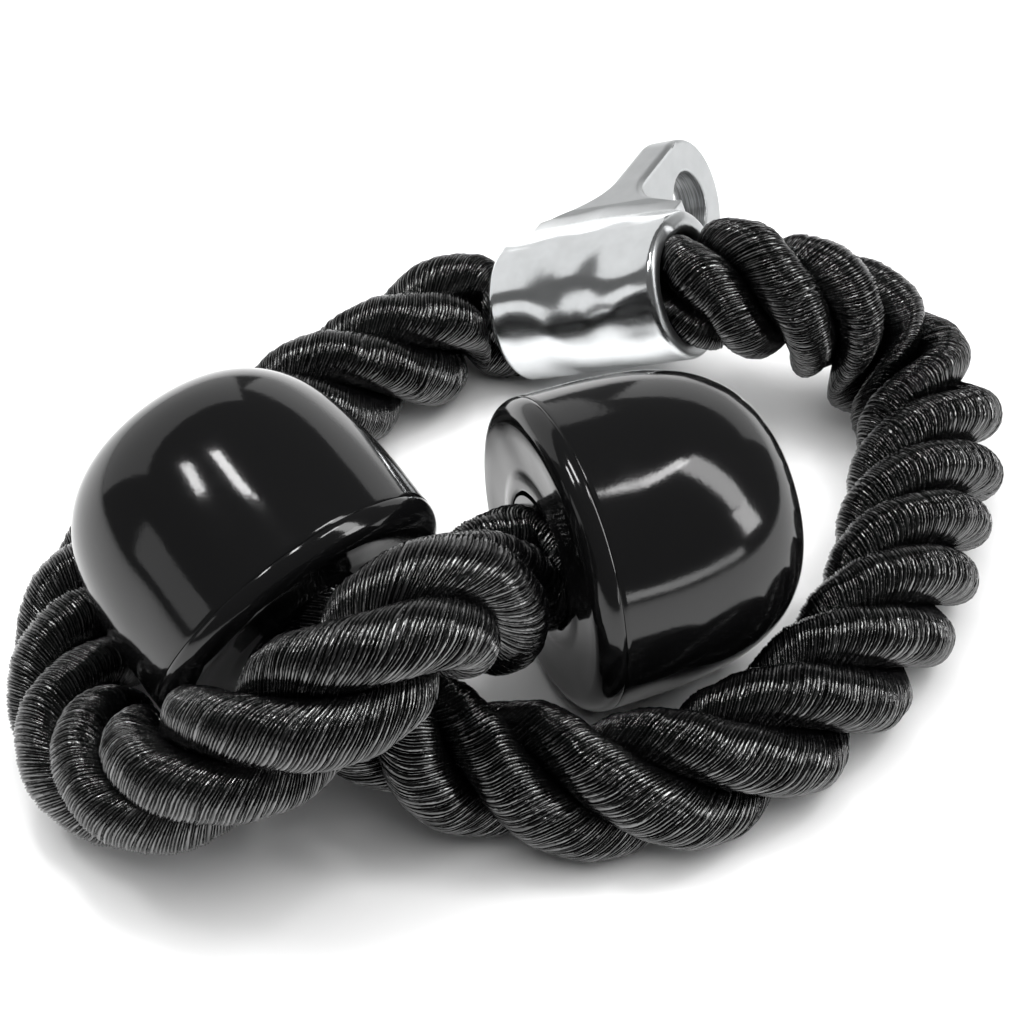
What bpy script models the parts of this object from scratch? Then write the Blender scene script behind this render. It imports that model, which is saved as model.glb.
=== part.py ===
"""Triceps rope attachment: one length of three-strand rope through a cast collar with an eye,
and a moulded stopper on each end of the rope. Metres, +Z up, lying on the surface z = 0."""

import math

import bmesh
import bpy
import numpy as np
from mathutils import Matrix, Vector

# General
RUNNING_GAP = 0.0003
CUT_OVERRUN = 0.004
MERGE_DISTANCE = 0.00001
SMOOTH_ANGLE = math.radians(35)
ROUND_SIDES = 48
SPLINE_STEPS = 24
ARC_STEPS = 6
SMALL_ARC_STEPS = 3

# Rope
ROPE_DIAMETER = 0.028
ROPE_STEP = 0.0110
ROPE_END_HALF_STEPS = 2
ROPE_BEVEL_RESOLUTION = 4

# Collar: a barrel that is pressed onto the rope, with a lug that carries the eye
BARREL_DIAMETER = 0.033
BARREL_LENGTH = 0.044
BARREL_EDGE_RADIUS = 0.0016
BARREL_BORE = 0.0252
BORE_MOUTH_RADIUS = 0.0012
EYE_DIAMETER = 0.0162
EYE_CHAMFER = 0.0006
EYE_HEIGHT = 0.046
LUG_WIDTH = 0.032
LUG_THICKNESS = 0.0082
LUG_CAST_ALLOWANCE = 0.0006
LUG_FOOT_DRAFT = 0.0004
SADDLE_RADIUS = 0.014
SADDLE_SINK = 0.0003
FACING_INSET = 0.0009
FACING_CORNER_RADIUS = 0.005
FACING_RISE = 0.0035
FACING_CORNER_STEPS = 8
LUG_TIP_STEPS = 28
SADDLE_STEPS = 12

# Stopper: a domed shell closed by a back cap, both round the rope end
STOPPER_DIAMETER = 0.068
STOPPER_LENGTH = 0.0545
DOME_LENGTHWISE_POWER = 3.2
DOME_CROSSWISE_POWER = 3.1
DOME_STEPS = 18
DOME_INNER_STEPS = 9
SHELL_WALL = 0.004
CAP_THICKNESS = 0.005
CAP_EDGE_RADIUS = 0.0046
CAP_HOLE_LIP = 0.0012
SPIGOT_LENGTH = 0.008
SPIGOT_WALL = 0.003

# Rope end inside a stopper
WASHER_WIDTH = 0.0057
WASHER_THICKNESS = 0.003
FERRULE_LENGTH = 0.018
FERRULE_WALL = 0.003
FERRULE_EDGE_RADIUS = 0.0008
CRIMPED_ROPE_DIAMETER = 0.0245
ROPE_HEAD_DIAMETER = 0.0275
ROPE_HEAD_LENGTH = 0.006
ROPE_HEAD_ROUNDING = 0.002

# Where the pieces lie
LAYOUT_CENTRE = (-0.005503, 0.024107)
COLLAR_CENTRE = (-0.003, 0.0722, 0.0256)
BARREL_TILT = math.radians(25.5)
LUG_LEAN = math.radians(99.3)
STOPPERS = {
    "stopper_a": {"face": (-0.0226, -0.0570, 0.0386), "turn": math.radians(150), "tilt": math.radians(20.5)},
    "stopper_b": {"face": (0.0130, -0.0200, 0.0340), "turn": math.radians(42), "tilt": 0.0},
}
ROUTE_A = [
    (0.0250, 0.0727, 0.0383), (0.0340, 0.0732, 0.0375), (0.0442, 0.0771, 0.0334), (0.0516, 0.0808, 0.0278),
    (0.0583, 0.0821, 0.0225), (0.0644, 0.0804, 0.0188), (0.0713, 0.0753, 0.0160), (0.0770, 0.0643, 0.0147),
    (0.0798, 0.0467, 0.0146), (0.0818, 0.0262, 0.0145), (0.0815, 0.0066, 0.0145), (0.0778, -0.0114, 0.0145),
    (0.0703, -0.0290, 0.0145), (0.0600, -0.0450, 0.0145), (0.0452, -0.0556, 0.0145),
    (0.0297, -0.0600, 0.0148), (0.0160, -0.0622, 0.0168), (0.0040, -0.0648, 0.0213),
]
ROUTE_B = [
    (-0.0320, 0.0710, 0.0140), (-0.0364, 0.0679, 0.0142), (-0.0397, 0.0631, 0.0143),
    (-0.0424, 0.0557, 0.0146), (-0.0473, 0.0466, 0.0143), (-0.0534, 0.0361, 0.0144),
    (-0.0600, 0.0239, 0.0145), (-0.0664, 0.0110, 0.0145), (-0.0715, -0.0030, 0.0145),
    (-0.0740, -0.0184, 0.0145), (-0.0760, -0.0330, 0.0145), (-0.0772, -0.0482, 0.0145),
    (-0.0740, -0.0625, 0.0145), (-0.0668, -0.0763, 0.0152), (-0.0574, -0.0886, 0.0185),
    (-0.0442, -0.0955, 0.0252), (-0.0318, -0.0973, 0.0355), (-0.0190, -0.0943, 0.0458),
    (-0.0075, -0.0880, 0.0542), (0.0004, -0.0791, 0.0600), (0.0050, -0.0678, 0.0612),
    (0.0084, -0.0568, 0.0562), (0.0098, -0.0480, 0.0475), (0.0086, -0.0400, 0.0400),
    (0.0076, -0.0340, 0.0362), (0.0079, -0.0286, 0.0346),
]
# How far each leg runs straight out of the barrel, and straight into its stopper
LEADS = {"rope_leg_a": (0.0040, 0.013), "rope_leg_b": (0.0044, 0.0045)}
MOUTH_SHARES = (0.90, 0.93, 0.97)

# Sizes worked out from those above
BARREL_RADIUS = BARREL_DIAMETER / 2
BORE_RADIUS = BARREL_BORE / 2
ROPE_RADIUS = ROPE_DIAMETER / 2
STOPPER_RADIUS = STOPPER_DIAMETER / 2
ROPE_HOLE_RADIUS = ROPE_RADIUS + RUNNING_GAP
SPIGOT_RADIUS = STOPPER_RADIUS - SHELL_WALL - 2 * RUNNING_GAP


def clear_scene():
    for item in list(bpy.data.objects):
        bpy.data.objects.remove(item, do_unlink=True)


def material(name, colour, roughness, metallic=0.0, coat=0.0):
    made = bpy.data.materials.new(name)
    made.use_nodes = True
    made.diffuse_color = (*colour, 1.0)
    shader = made.node_tree.nodes["Principled BSDF"]
    shader.inputs["Base Color"].default_value = (*colour, 1.0)
    shader.inputs["Roughness"].default_value = roughness
    shader.inputs["Metallic"].default_value = metallic
    shader.inputs["Coat Weight"].default_value = coat
    return made


def placed(name, mesh, look, parent=None):
    mesh.materials.append(look)
    mesh.shade_smooth()
    mesh.set_sharp_from_angle(angle=SMOOTH_ANGLE)
    item = bpy.data.objects.new(name, mesh)
    bpy.context.scene.collection.objects.link(item)
    item.parent = parent
    return item


def empty(name, matrix, parent=None):
    item = bpy.data.objects.new(name, None)
    bpy.context.scene.collection.objects.link(item)
    item.parent = parent
    item.matrix_basis = matrix
    return item


def arc(centre, radius, start, end, steps=ARC_STEPS):
    """Points (across, along) on an arc, both ends included."""
    return [
        (
            centre[0] + radius * math.cos(math.radians(start + (end - start) * i / steps)),
            centre[1] + radius * math.sin(math.radians(start + (end - start) * i / steps)),
        )
        for i in range(steps + 1)
    ]


def turned(name, outline, ring=False):
    """A mesh turned about local Z from (radius, height) points. A ring's outline is a closed loop."""
    shape = bmesh.new()
    points = [shape.verts.new((radius, 0.0, height)) for radius, height in outline]
    edges = [shape.edges.new(pair) for pair in zip(points, points[1:])]
    if ring:
        edges.append(shape.edges.new((points[-1], points[0])))
    bmesh.ops.spin(
        shape, geom=points + edges, angle=math.tau, steps=ROUND_SIDES, axis=(0, 0, 1), cent=(0, 0, 0)
    )
    bmesh.ops.remove_doubles(shape, verts=shape.verts, dist=MERGE_DISTANCE)
    bmesh.ops.recalc_face_normals(shape, faces=shape.faces)
    mesh = bpy.data.meshes.new(name)
    shape.to_mesh(mesh)
    shape.free()
    return mesh


def prism(name, outline, start, end, axes):
    """A mesh with the outline's two directions and the extrusion on the given local axes."""
    shape = bmesh.new()
    points = []
    for across, up in outline:
        place = [0.0, 0.0, 0.0]
        place[axes[0]], place[axes[1]], place[axes[2]] = across, up, start
        points.append(shape.verts.new(place))
    face = shape.faces.new(points)
    moved = bmesh.ops.extrude_face_region(shape, geom=[face])["geom"]
    push = [0.0, 0.0, 0.0]
    push[axes[2]] = end - start
    bmesh.ops.translate(shape, vec=push, verts=[v for v in moved if isinstance(v, bmesh.types.BMVert)])
    bmesh.ops.recalc_face_normals(shape, faces=shape.faces)
    mesh = bpy.data.meshes.new(name)
    shape.to_mesh(mesh)
    shape.free()
    return mesh


def helper(item):
    item.hide_render = True
    item.display_type = "WIRE"
    return item


def combine(item, other, operation):
    change = item.modifiers.new(other.name, "BOOLEAN")
    change.operation = operation
    change.solver = "EXACT"
    change.object = other


def along_x(mesh):
    """Turns a mesh made about Z so that its axis lies on X."""
    mesh.transform(Matrix.Rotation(math.radians(90), 4, "Y"))
    return mesh


def barrel_outline():
    half = BARREL_LENGTH / 2
    edge = BARREL_EDGE_RADIUS
    top = arc((BARREL_RADIUS - edge, half - edge), edge, 90, 0)
    bottom = arc((BARREL_RADIUS - edge, edge - half), edge, 0, -90)
    return [(0.0, half), *top, *bottom, (0.0, -half)]


def bore_outline():
    half = BARREL_LENGTH / 2
    mouth = BORE_MOUTH_RADIUS
    over = half + CUT_OVERRUN
    top = arc((BORE_RADIUS + mouth, half - mouth), mouth, 90, 180)
    bottom = arc((BORE_RADIUS + mouth, mouth - half), mouth, 180, 270)
    wide = BORE_RADIUS + mouth
    return [(0.0, over), (wide, over), *top, *bottom, (wide, -over), (0.0, -over)]


def eye_outline():
    half = LUG_THICKNESS / 2
    radius = EYE_DIAMETER / 2
    over = half + CUT_OVERRUN
    wide = radius + EYE_CHAMFER + CUT_OVERRUN
    return [
        (0.0, over), (wide, over), (radius + EYE_CHAMFER, half), (radius, half - EYE_CHAMFER),
        (radius, EYE_CHAMFER - half), (radius + EYE_CHAMFER, -half), (wide, -over), (0.0, -over),
    ]


def saddle_outline():
    """The lug seen from its narrow side: straight plate above, hollow curves down to the barrel."""
    half = LUG_THICKNESS / 2 + LUG_CAST_ALLOWANCE
    foot = half + LUG_FOOT_DRAFT
    tip = EYE_HEIGHT + LUG_WIDTH / 2 + CUT_OVERRUN
    base = BARREL_RADIUS - SADDLE_SINK
    right = arc((foot + SADDLE_RADIUS, base + SADDLE_RADIUS), SADDLE_RADIUS, 270, 180, SADDLE_STEPS)
    left = [(-across, up) for across, up in reversed(right)]
    reach = foot + SADDLE_RADIUS
    return [(reach, 0.0), *right, (half, tip), (-half, tip), *left, (-reach, 0.0)]


def tombstone_outline():
    half = LUG_WIDTH / 2
    return [(half, 0.0), *arc((0.0, EYE_HEIGHT), half, 0, 180, LUG_TIP_STEPS), (-half, 0.0)]


def facing_outline():
    """The machined bearing face on the lug: full height, with two rounded lower corners."""
    half = LUG_WIDTH / 2 - FACING_INSET
    low = BARREL_RADIUS + FACING_RISE
    corner = FACING_CORNER_RADIUS
    tip = EYE_HEIGHT + LUG_WIDTH / 2 + CUT_OVERRUN
    left = arc((corner - half, low + corner), corner, 180, 270, FACING_CORNER_STEPS)
    right = arc((half - corner, low + corner), corner, 270, 360, FACING_CORNER_STEPS)
    return [(-half, tip), *left, *right, (half, tip)]


def collar(parent):
    metal = material("polished cast aluminium", (0.80, 0.82, 0.83), 0.16, metallic=1.0)
    place = empty(
        "collar_place",
        Matrix.Translation(COLLAR_CENTRE)
        @ Matrix.Rotation(-BARREL_TILT, 4, "Y")
        @ Matrix.Rotation(-LUG_LEAN, 4, "X"),
        parent,
    )
    casting = placed("collar_casting", along_x(turned("collar_casting", barrel_outline())), metal, place)
    half = LUG_WIDTH / 2 + CUT_OVERRUN
    lug = helper(placed("lug_form", prism("lug_form", saddle_outline(), -half, half, (0, 2, 1)), metal, place))
    reach = BARREL_LENGTH / 2
    plan = prism("lug_plan", tombstone_outline(), -reach, reach, (1, 2, 0))
    combine(lug, helper(placed("lug_plan", plan, metal, place)), "INTERSECT")
    combine(casting, lug, "UNION")
    bore = along_x(turned("bore_cutter", bore_outline()))
    combine(casting, helper(placed("bore_cutter", bore, metal, place)), "DIFFERENCE")
    face = LUG_THICKNESS / 2
    for side, name in ((1, "facing_cutter_upper"), (-1, "facing_cutter_lower")):
        cut = prism(name, facing_outline(), side * face, side * (face + SADDLE_RADIUS), (1, 2, 0))
        combine(casting, helper(placed(name, cut, metal, place)), "DIFFERENCE")
    eye = along_x(turned("eye_cutter", eye_outline()))
    eye.transform(Matrix.Translation((0.0, 0.0, EYE_HEIGHT)))
    combine(casting, helper(placed("eye_cutter", eye, metal, place)), "DIFFERENCE")
    return place


def rope_in_collar(place):
    """The middle of the rope, squeezed into the barrel."""
    radius = BORE_RADIUS - RUNNING_GAP
    half = BARREL_LENGTH / 2
    mesh = along_x(turned("rope_in_collar", [(0.0, half), (radius, half), (radius, -half), (0.0, -half)]))
    placed("rope_in_collar", mesh, rope_look(), place)


def rope_look():
    return bpy.data.materials.get("black rope") or material("black rope", (0.018, 0.018, 0.020), 0.42)


def dome_outline(radius, length, steps):
    """The dome from its open edge to its apex, as (radius, height) points."""
    start = CAP_THICKNESS + RUNNING_GAP
    points = []
    for i in range(steps + 1):
        share = math.sin(math.pi / 2 * i / steps)
        across = radius * (1 - share**DOME_LENGTHWISE_POWER) ** (1 / DOME_CROSSWISE_POWER)
        points.append((across, start + (length - start) * share))
    points[-1] = (0.0, length)
    return points


def shell_outline():
    outer = dome_outline(STOPPER_RADIUS, STOPPER_LENGTH, DOME_STEPS)
    inner = dome_outline(STOPPER_RADIUS - SHELL_WALL, STOPPER_LENGTH - SHELL_WALL, DOME_INNER_STEPS)
    return [*reversed(outer), *inner]


def cap_outline():
    """The back cap's ring: rounded rim, lip round the rope, and a spigot that centres it in the shell."""
    edge = CAP_EDGE_RADIUS
    lip = CAP_HOLE_LIP
    spigot = SPIGOT_RADIUS
    spigot_end = CAP_THICKNESS + SPIGOT_LENGTH
    rim = arc((STOPPER_RADIUS - edge, edge), edge, 270, 360)
    mouth = arc((ROPE_HOLE_RADIUS + lip, lip), lip, 180, 270, SMALL_ARC_STEPS)
    return [
        *mouth, *rim, (STOPPER_RADIUS, CAP_THICKNESS), (spigot, CAP_THICKNESS), (spigot, spigot_end),
        (spigot - SPIGOT_WALL, spigot_end), (spigot - SPIGOT_WALL, CAP_THICKNESS), (ROPE_HOLE_RADIUS, CAP_THICKNESS),
    ]


def washer_outline():
    low = CAP_THICKNESS + RUNNING_GAP
    high = low + WASHER_THICKNESS
    outer = ROPE_HOLE_RADIUS + WASHER_WIDTH
    return [(ROPE_HOLE_RADIUS, low), (outer, low), (outer, high), (ROPE_HOLE_RADIUS, high)]


def ferrule_span():
    low = CAP_THICKNESS + WASHER_THICKNESS + 2 * RUNNING_GAP
    return low, low + FERRULE_LENGTH


def ferrule_outline():
    low, high = ferrule_span()
    inner = CRIMPED_ROPE_DIAMETER / 2 + RUNNING_GAP
    outer = inner + FERRULE_WALL
    edge = FERRULE_EDGE_RADIUS
    return [
        (inner, low), *arc((outer - edge, low + edge), edge, 270, 360, SMALL_ARC_STEPS),
        *arc((outer - edge, high - edge), edge, 0, 90, SMALL_ARC_STEPS), (inner, high),
    ]


def rope_end_outline():
    """The rope end: full size through cap and washer, squeezed in the ferrule, and a melted head behind."""
    low, high = ferrule_span()
    squeezed = CRIMPED_ROPE_DIAMETER / 2
    head = ROPE_HEAD_DIAMETER / 2
    top = high + RUNNING_GAP + ROPE_HEAD_LENGTH
    rounding = ROPE_HEAD_ROUNDING
    neck = low - RUNNING_GAP
    return [
        (0.0, top), *arc((head - rounding, top - rounding), rounding, 90, 0, SMALL_ARC_STEPS), (head, high + RUNNING_GAP),
        (squeezed, high + RUNNING_GAP), (squeezed, neck), (ROPE_RADIUS, neck), (ROPE_RADIUS, 0.0), (0.0, 0.0),
    ]


def stopper_matrix(stopper):
    """Local Z runs from the face that the rope enters to the top of the dome."""
    return (
        Matrix.Translation(stopper["face"])
        @ Matrix.Rotation(stopper["turn"], 4, "Z")
        @ Matrix.Rotation(math.radians(90) - stopper["tilt"], 4, "Y")
    )


def stopper(name, values, parent):
    plastic = material(f"{name} gloss black plastic", (0.010, 0.010, 0.011), 0.07, coat=0.3)
    steel = material(f"{name} zinc plated steel", (0.62, 0.63, 0.64), 0.30, metallic=1.0)
    alloy = material(f"{name} crimped aluminium", (0.74, 0.75, 0.76), 0.34, metallic=1.0)
    place = empty(f"{name}_swivel", stopper_matrix(values), parent)
    placed(f"{name}_shell", turned(f"{name}_shell", shell_outline()), plastic, place)
    placed(f"{name}_back_cap", turned(f"{name}_back_cap", cap_outline(), ring=True), plastic, place)
    end = empty(f"{name}_rope_end_place", stopper_matrix(values), parent)
    side = name[-1]
    placed(f"washer_{side}", turned(f"washer_{side}", washer_outline(), ring=True), steel, end)
    placed(f"ferrule_{side}", turned(f"ferrule_{side}", ferrule_outline(), ring=True), alloy, end)
    placed(f"rope_end_{side}", turned(f"rope_end_{side}", rope_end_outline()), rope_look(), end)


def natural_spline(points, step):
    """Points on the natural cubic spline through the given points: the two ends, and between the
    second and the last but one an even row, twice as dense near the ends."""
    points = np.array(points)
    spans = np.linalg.norm(np.diff(points, axis=0), axis=1)
    count = len(points)
    system = np.eye(count)
    target = np.zeros((count, 3))
    slopes = np.diff(points, axis=0) / spans[:, None]
    for i in range(1, count - 1):
        system[i, i - 1 : i + 2] = spans[i - 1], 2 * (spans[i - 1] + spans[i]), spans[i]
        target[i] = 6 * (slopes[i] - slopes[i - 1])
    bend = np.linalg.solve(system, target)
    fine = []
    parts = SPLINE_STEPS
    for i in range(count - 1):
        for part in range(parts):
            done = part / parts
            left = 1 - done
            pull = ((left**3 - left) * bend[i] + (done**3 - done) * bend[i + 1]) * spans[i] ** 2 / 6
            fine.append(left * points[i] + done * points[i + 1] + pull)
    fine = np.array(fine[parts : 1 - parts])
    travelled = np.concatenate([[0.0], np.cumsum(np.linalg.norm(np.diff(fine, axis=0), axis=1))])
    stations = np.linspace(0.0, travelled[-1], round(travelled[-1] / step) + 1)
    halves = (stations[1:] + stations[:-1]) / 2
    stations = np.sort([*stations, *halves[:ROPE_END_HALF_STEPS], *halves[-ROPE_END_HALF_STEPS:]])
    row = np.stack([np.interp(stations, travelled, fine[:, i]) for i in range(3)], axis=1)
    return [points[0], *row, points[-1]]


def rope_leg(name, side, route, values, parent):
    """A free stretch of rope from one end of the barrel to the face of its stopper."""
    barrel = Matrix.Rotation(-BARREL_TILT, 3, "Y") @ Vector((side, 0.0, 0.0))
    lead_out, lead_in = LEADS[name]
    start = Vector(COLLAR_CENTRE) + barrel * (BARREL_LENGTH / 2 + RUNNING_GAP)
    inward = stopper_matrix(values).to_3x3() @ Vector((0.0, 0.0, 1.0))
    end = Vector(values["face"]) - inward * RUNNING_GAP
    points = natural_spline(
        [start, start + barrel * lead_out, *route, end - inward * lead_in, end], ROPE_STEP
    )
    curve = bpy.data.curves.new(name, "CURVE")
    curve.dimensions = "3D"
    curve.bevel_depth = ROPE_RADIUS
    curve.bevel_resolution = ROPE_BEVEL_RESOLUTION
    curve.use_fill_caps = True
    curve.twist_mode = "MINIMUM"
    spline = curve.splines.new("POLY")
    spline.points.add(len(points) - 1)
    for point, place in zip(spline.points, points):
        point.co = (*place, 1.0)
    for point, share in zip(spline.points, MOUTH_SHARES):
        point.radius = share
    curve.materials.append(rope_look())
    item = bpy.data.objects.new(name, curve)
    bpy.context.scene.collection.objects.link(item)
    item.parent = parent


def main():
    clear_scene()
    layout = empty("layout", Matrix.Translation((-LAYOUT_CENTRE[0], -LAYOUT_CENTRE[1], 0.0)))
    rope_in_collar(collar(layout))
    for name, values in STOPPERS.items():
        stopper(name, values, layout)
    rope_leg("rope_leg_a", 1, ROUTE_A, STOPPERS["stopper_a"], layout)
    rope_leg("rope_leg_b", -1, ROUTE_B, STOPPERS["stopper_b"], layout)


main()
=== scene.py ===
"""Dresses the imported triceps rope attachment: laid rope, glossy stoppers, cast collar, studio.

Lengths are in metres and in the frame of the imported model.
"""

import math

import bmesh
import bpy
import numpy as np
from bpy.props import FloatProperty, FloatVectorProperty, IntProperty, PointerProperty
from mathutils import Matrix, Vector


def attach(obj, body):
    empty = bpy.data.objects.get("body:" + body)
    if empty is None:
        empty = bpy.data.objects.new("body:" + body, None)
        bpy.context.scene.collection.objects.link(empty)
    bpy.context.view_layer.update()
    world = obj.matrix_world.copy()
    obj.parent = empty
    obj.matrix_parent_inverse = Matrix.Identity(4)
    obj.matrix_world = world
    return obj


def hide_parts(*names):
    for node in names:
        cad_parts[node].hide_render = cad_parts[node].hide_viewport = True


bl_info = {
    "name": "Triceps Rope Attachment",
    "version": (1, 0, 0),
    "blender": (4, 5, 0),
    "location": "3D View > Sidebar > Triceps Rope",
    "description": "Builds the look of a triceps rope attachment on its packed model",
    "category": "Object",
}

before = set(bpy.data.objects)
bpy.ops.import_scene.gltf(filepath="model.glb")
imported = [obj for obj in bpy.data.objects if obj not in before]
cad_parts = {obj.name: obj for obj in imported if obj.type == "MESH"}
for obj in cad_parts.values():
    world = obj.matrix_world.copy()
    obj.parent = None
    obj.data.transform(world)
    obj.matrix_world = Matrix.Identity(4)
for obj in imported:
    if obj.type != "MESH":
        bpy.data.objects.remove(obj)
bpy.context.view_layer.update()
ROOT_BODY = "rope_and_collar"

# Where the pieces lie, as in the model
LAYOUT_SHIFT = np.array([0.005503, -0.024107, 0.0])
COLLAR_CENTRE = np.array([-0.003, 0.0722, 0.0256]) + LAYOUT_SHIFT
BARREL_TILT = math.radians(25.5)
LUG_LEAN = math.radians(99.3)
STOPPERS = {
    "stopper_a": {"face": (-0.0226, -0.0570, 0.0386), "turn": math.radians(150), "tilt": math.radians(20.5)},
    "stopper_b": {"face": (0.0130, -0.0200, 0.0340), "turn": math.radians(42), "tilt": 0.0},
}
ROUTE_A = [
    (0.0250, 0.0727, 0.0383), (0.0340, 0.0732, 0.0375), (0.0442, 0.0771, 0.0334), (0.0516, 0.0808, 0.0278),
    (0.0583, 0.0821, 0.0225), (0.0644, 0.0804, 0.0188), (0.0713, 0.0753, 0.0160), (0.0770, 0.0643, 0.0147),
    (0.0798, 0.0467, 0.0147), (0.0818, 0.0262, 0.0147), (0.0815, 0.0066, 0.0147), (0.0778, -0.0114, 0.0147),
    (0.0703, -0.0290, 0.0147), (0.0600, -0.0450, 0.0147), (0.0452, -0.0556, 0.0147),
    (0.0297, -0.0600, 0.0148), (0.0160, -0.0622, 0.0168), (0.0040, -0.0648, 0.0213),
]
ROUTE_B = [
    (-0.0320, 0.0710, 0.0140), (-0.0364, 0.0679, 0.0142), (-0.0397, 0.0631, 0.0147),
    (-0.0424, 0.0557, 0.0147), (-0.0473, 0.0466, 0.0147), (-0.0534, 0.0361, 0.0147),
    (-0.0600, 0.0239, 0.0147), (-0.0664, 0.0110, 0.0147), (-0.0715, -0.0030, 0.0147),
    (-0.0740, -0.0184, 0.0147), (-0.0760, -0.0330, 0.0147), (-0.0772, -0.0482, 0.0147),
    (-0.0740, -0.0625, 0.0147), (-0.0668, -0.0763, 0.0152), (-0.0574, -0.0886, 0.0185),
    (-0.0442, -0.0955, 0.0252), (-0.0318, -0.0973, 0.0355), (-0.0190, -0.0943, 0.0458),
    (-0.0075, -0.0880, 0.0542), (0.0004, -0.0791, 0.0600), (0.0050, -0.0678, 0.0612),
    (0.0084, -0.0568, 0.0562), (0.0098, -0.0480, 0.0475), (0.0086, -0.0400, 0.0400),
    (0.0076, -0.0340, 0.0362), (0.0079, -0.0286, 0.0346),
]

# Sizes shared with the model
BARREL_RADIUS = 0.0165
BARREL_LENGTH = 0.044
BORE_RADIUS = 0.0126
EYE_RADIUS = 0.0081
EYE_HEIGHT = 0.046
LUG_HALF_WIDTH = 0.016
LUG_HALF_THICKNESS = 0.0041
LUG_CAST_ALLOWANCE = 0.0006
SADDLE_RADIUS = 0.014
STOPPER_RADIUS = 0.034
STOPPER_LENGTH = 0.0545
DOME_POWERS = (3.2, 3.1)
CAP_THICKNESS = 0.005
CAP_EDGE_RADIUS = 0.0046
SHELL_WALL = 0.004
ROPE_HOLE_RADIUS = 0.0143
PARTING_GAP = 0.0003
PARTING_CREASE = 0.0001

# Camera, from the photo's perspective
CAMERA_TURN = math.radians(19.6)
CAMERA_RISE = math.radians(45)
CAMERA_DISTANCE = 0.650
CAMERA_TARGET = Vector((0.0, 0.0, 0.025)) + Vector(LAYOUT_SHIFT)
SENSOR_WIDTH = 36.0
LENS = 106.24


class RopeSettings(bpy.types.PropertyGroup):
    """The laid rope."""

    diameter: FloatProperty(
        name="Diameter", description="Across the crests of the strands", default=0.030, unit="LENGTH"
    )
    lay_length: FloatProperty(
        name="Lay length", description="Rope length in which a strand goes once round", default=0.052,
        unit="LENGTH",
    )
    strands: IntProperty(name="Strands", description="How many strands the rope is laid from", default=3, min=3)
    phase: FloatProperty(
        name="Start angle", description="Turns the strands about the rope", default=0.0, subtype="ANGLE"
    )
    colour: FloatVectorProperty(
        name="Colour", description="Colour of the yarn", default=(0.0022, 0.0022, 0.0025), size=3,
        subtype="COLOR",
    )
    roughness: FloatProperty(
        name="Roughness", description="Of the yarn's filaments", default=0.08, subtype="FACTOR"
    )


class StopperSettings(bpy.types.PropertyGroup):
    """The two stoppers."""

    colour: FloatVectorProperty(
        name="Colour", description="Colour of the plastic", default=(0.0035, 0.0035, 0.0037), size=3,
        subtype="COLOR",
    )
    roughness: FloatProperty(
        name="Roughness", description="Of the moulded surface", default=0.09, subtype="FACTOR"
    )


class CollarSettings(bpy.types.PropertyGroup):
    """The cast collar."""

    colour: FloatVectorProperty(
        name="Colour", description="Colour of the polished aluminium", default=(0.82, 0.84, 0.85), size=3,
        subtype="COLOR",
    )
    voxel: FloatProperty(
        name="Mesh size", description="Spacing of the casting's mesh", default=0.00045, unit="LENGTH"
    )


class StageSettings(bpy.types.PropertyGroup):
    """Floor, light and camera."""

    floor: FloatProperty(
        name="Floor brightness", description="Albedo of the table top", default=0.88, subtype="FACTOR"
    )
    sky: FloatProperty(name="Sky", description="Strength of the even light", default=0.12)
    key: FloatProperty(
        name="Overhead light", description="Power of the large overhead softbox", default=46.0, unit="POWER"
    )


class TricepsRopeSettings(bpy.types.PropertyGroup):
    """Everything that a user would change."""

    rope: PointerProperty(type=RopeSettings)
    stopper: PointerProperty(type=StopperSettings)
    collar: PointerProperty(type=CollarSettings)
    stage: PointerProperty(type=StageSettings)


# Nodes


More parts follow.
